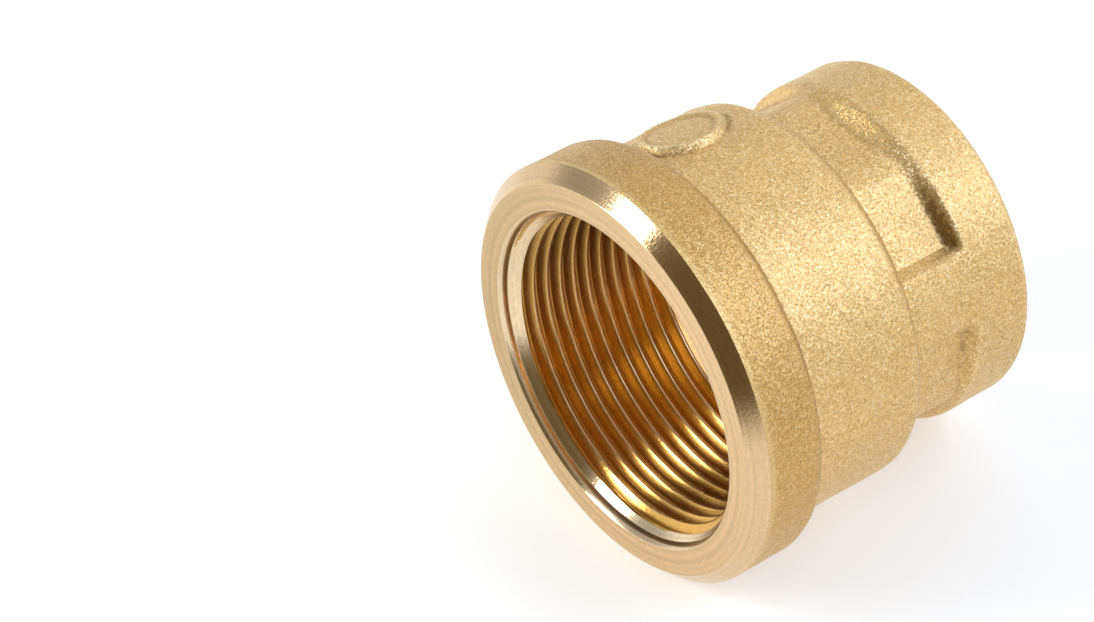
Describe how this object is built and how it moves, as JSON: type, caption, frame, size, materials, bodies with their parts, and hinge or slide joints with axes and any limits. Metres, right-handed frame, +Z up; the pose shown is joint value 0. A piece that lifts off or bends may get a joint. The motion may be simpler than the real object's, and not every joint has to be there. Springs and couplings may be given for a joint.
{
  "type": "reducing pipe coupling",
  "caption": "Cast brass reducing coupling with a female parallel pipe thread in each end, a banded wide mouth and wrench flats.",
  "frame": {"origin": "on the bore's axis, halfway between the two end faces", "axes": "+X along the bore from the wide end to the narrow end, +Z up with the coupling on its side, square to one wrench flat"},
  "size_m": [0.052, 0.0608, 0.0608],
  "materials": {
    "cast_brass": "as cast and grit blasted, matt, with machined faces and chamfers at both mouths",
    "cut_brass": "machined thread, bright"
  },
  "bodies": {
    "root": {"body": "cast_brass", "wide_thread": "cut_brass", "narrow_thread": "cut_brass"}
  },
  "joints": []
}
